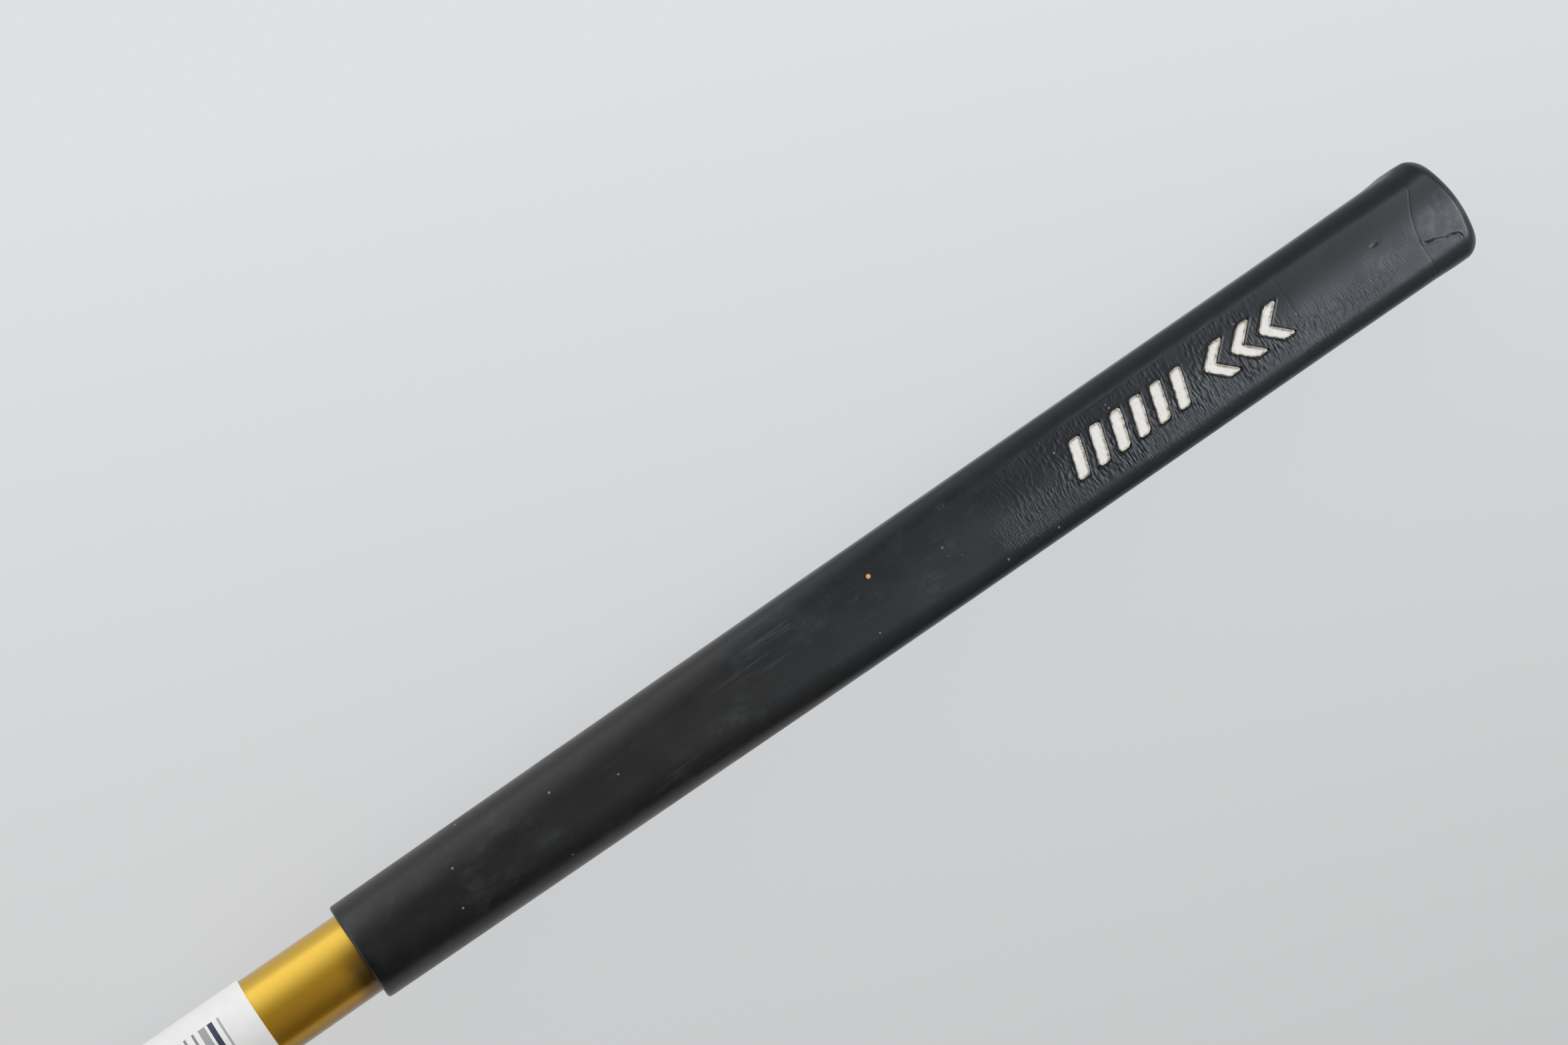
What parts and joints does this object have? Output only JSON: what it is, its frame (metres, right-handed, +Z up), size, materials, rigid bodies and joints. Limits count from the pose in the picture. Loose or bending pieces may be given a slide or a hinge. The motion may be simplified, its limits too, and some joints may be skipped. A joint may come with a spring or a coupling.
{
  "type": "swing trainer stick",
  "caption": "Swing trainer stick: flat-faced rubber grip on an anodised tube, with a magnet-held sliding hammer that clicks on a buffered strike ring.",
  "frame": {"origin": "centre of the footprint, on the surface the stick lies on", "axes": "+X along the stick to the butt end of the grip, +Z up, square to the grip's flat face"},
  "size_m": [0.639, 0.037, 0.0401],
  "materials": {
    "grip_rubber": "moulded rubber, satin, faintly rubbed",
    "cap_rubber": "moulded rubber, satin",
    "mark_paint": "white paint in recessed marks, worn at the rims",
    "grip_tape": "double-sided tape",
    "tube_gold": "gold anodised, drawn, satin",
    "plug_plastic": "moulded polyethylene",
    "label_paper": "white coated paper with printed bars",
    "collar_black": "black anodised, turned and fluted",
    "magnet_nickel": "nickel plated",
    "pad_nylon": "natural nylon",
    "stud_steel": "zinc plated steel",
    "knob_plastic": "glass-filled nylon, fine texture",
    "hammer_steel": "turned stainless steel, satin",
    "keeper_steel": "nickel plated mild steel",
    "screw_black": "black oxide steel",
    "bush_bronze": "sintered bronze",
    "hard_steel": "hardened, ground",
    "ring_rubber": "nitrile rubber",
    "buffer_rubber": "cast polyurethane",
    "weight_steel": "plain turned steel",
    "boot_rubber": "moulded rubber, matt"
  },
  "bodies": {
    "stick": {"grip_sleeve": "grip_rubber", "grip_cap": "cap_rubber", "grip_marks": "mark_paint", "grip_tape": "grip_tape", "main_tube": "tube_gold", "butt_plug": "plug_plastic", "price_label": "label_paper", "strike_buffer": "buffer_rubber", "buffer_washer": "keeper_steel", "end_block": "collar_black", "set_screws": "screw_black", "tip_weight": "weight_steel", "tip_screw": "screw_black", "tip_boot": "boot_rubber"},
    "collar": {"tempo_collar": "collar_black", "collar_magnets": "magnet_nickel", "pressure_pad": "pad_nylon"},
    "thumb_screw": {"thumb_stud": "stud_steel", "thumb_knob": "knob_plastic"},
    "hammer": {"hammer_body": "hammer_steel", "hammer_keeper": "keeper_steel", "keeper_screws": "screw_black", "hammer_bush_upper": "bush_bronze", "hammer_bush_lower": "bush_bronze", "hammer_face_ring": "hard_steel", "hammer_o_rings": "ring_rubber"},
    "striker": {"strike_ring": "hard_steel"}
  },
  "joints": [
    {"name": "hammer_slide", "type": "slide", "parent": "stick", "child": "hammer", "axis": [-1, 0, 0], "range_m": [0, 0.11]},
    {"name": "strike_ring_slide", "type": "slide", "parent": "stick", "child": "striker", "axis": [-1, 0, 0], "range_m": [0, 0.003], "stiffness_N_per_m": 8000, "deforming": ["strike_buffer"]},
    {"name": "collar_slide", "type": "slide", "parent": "stick", "child": "collar", "axis": [1, 0, 0], "range_m": [0, 0.03]},
    {"name": "thumb_screw_turn", "type": "hinge", "parent": "collar", "child": "thumb_screw", "pos_m": [-0.0465, 0, 0.03], "axis": [0, 0, 1], "range_deg": [0, 360]}
  ]
}
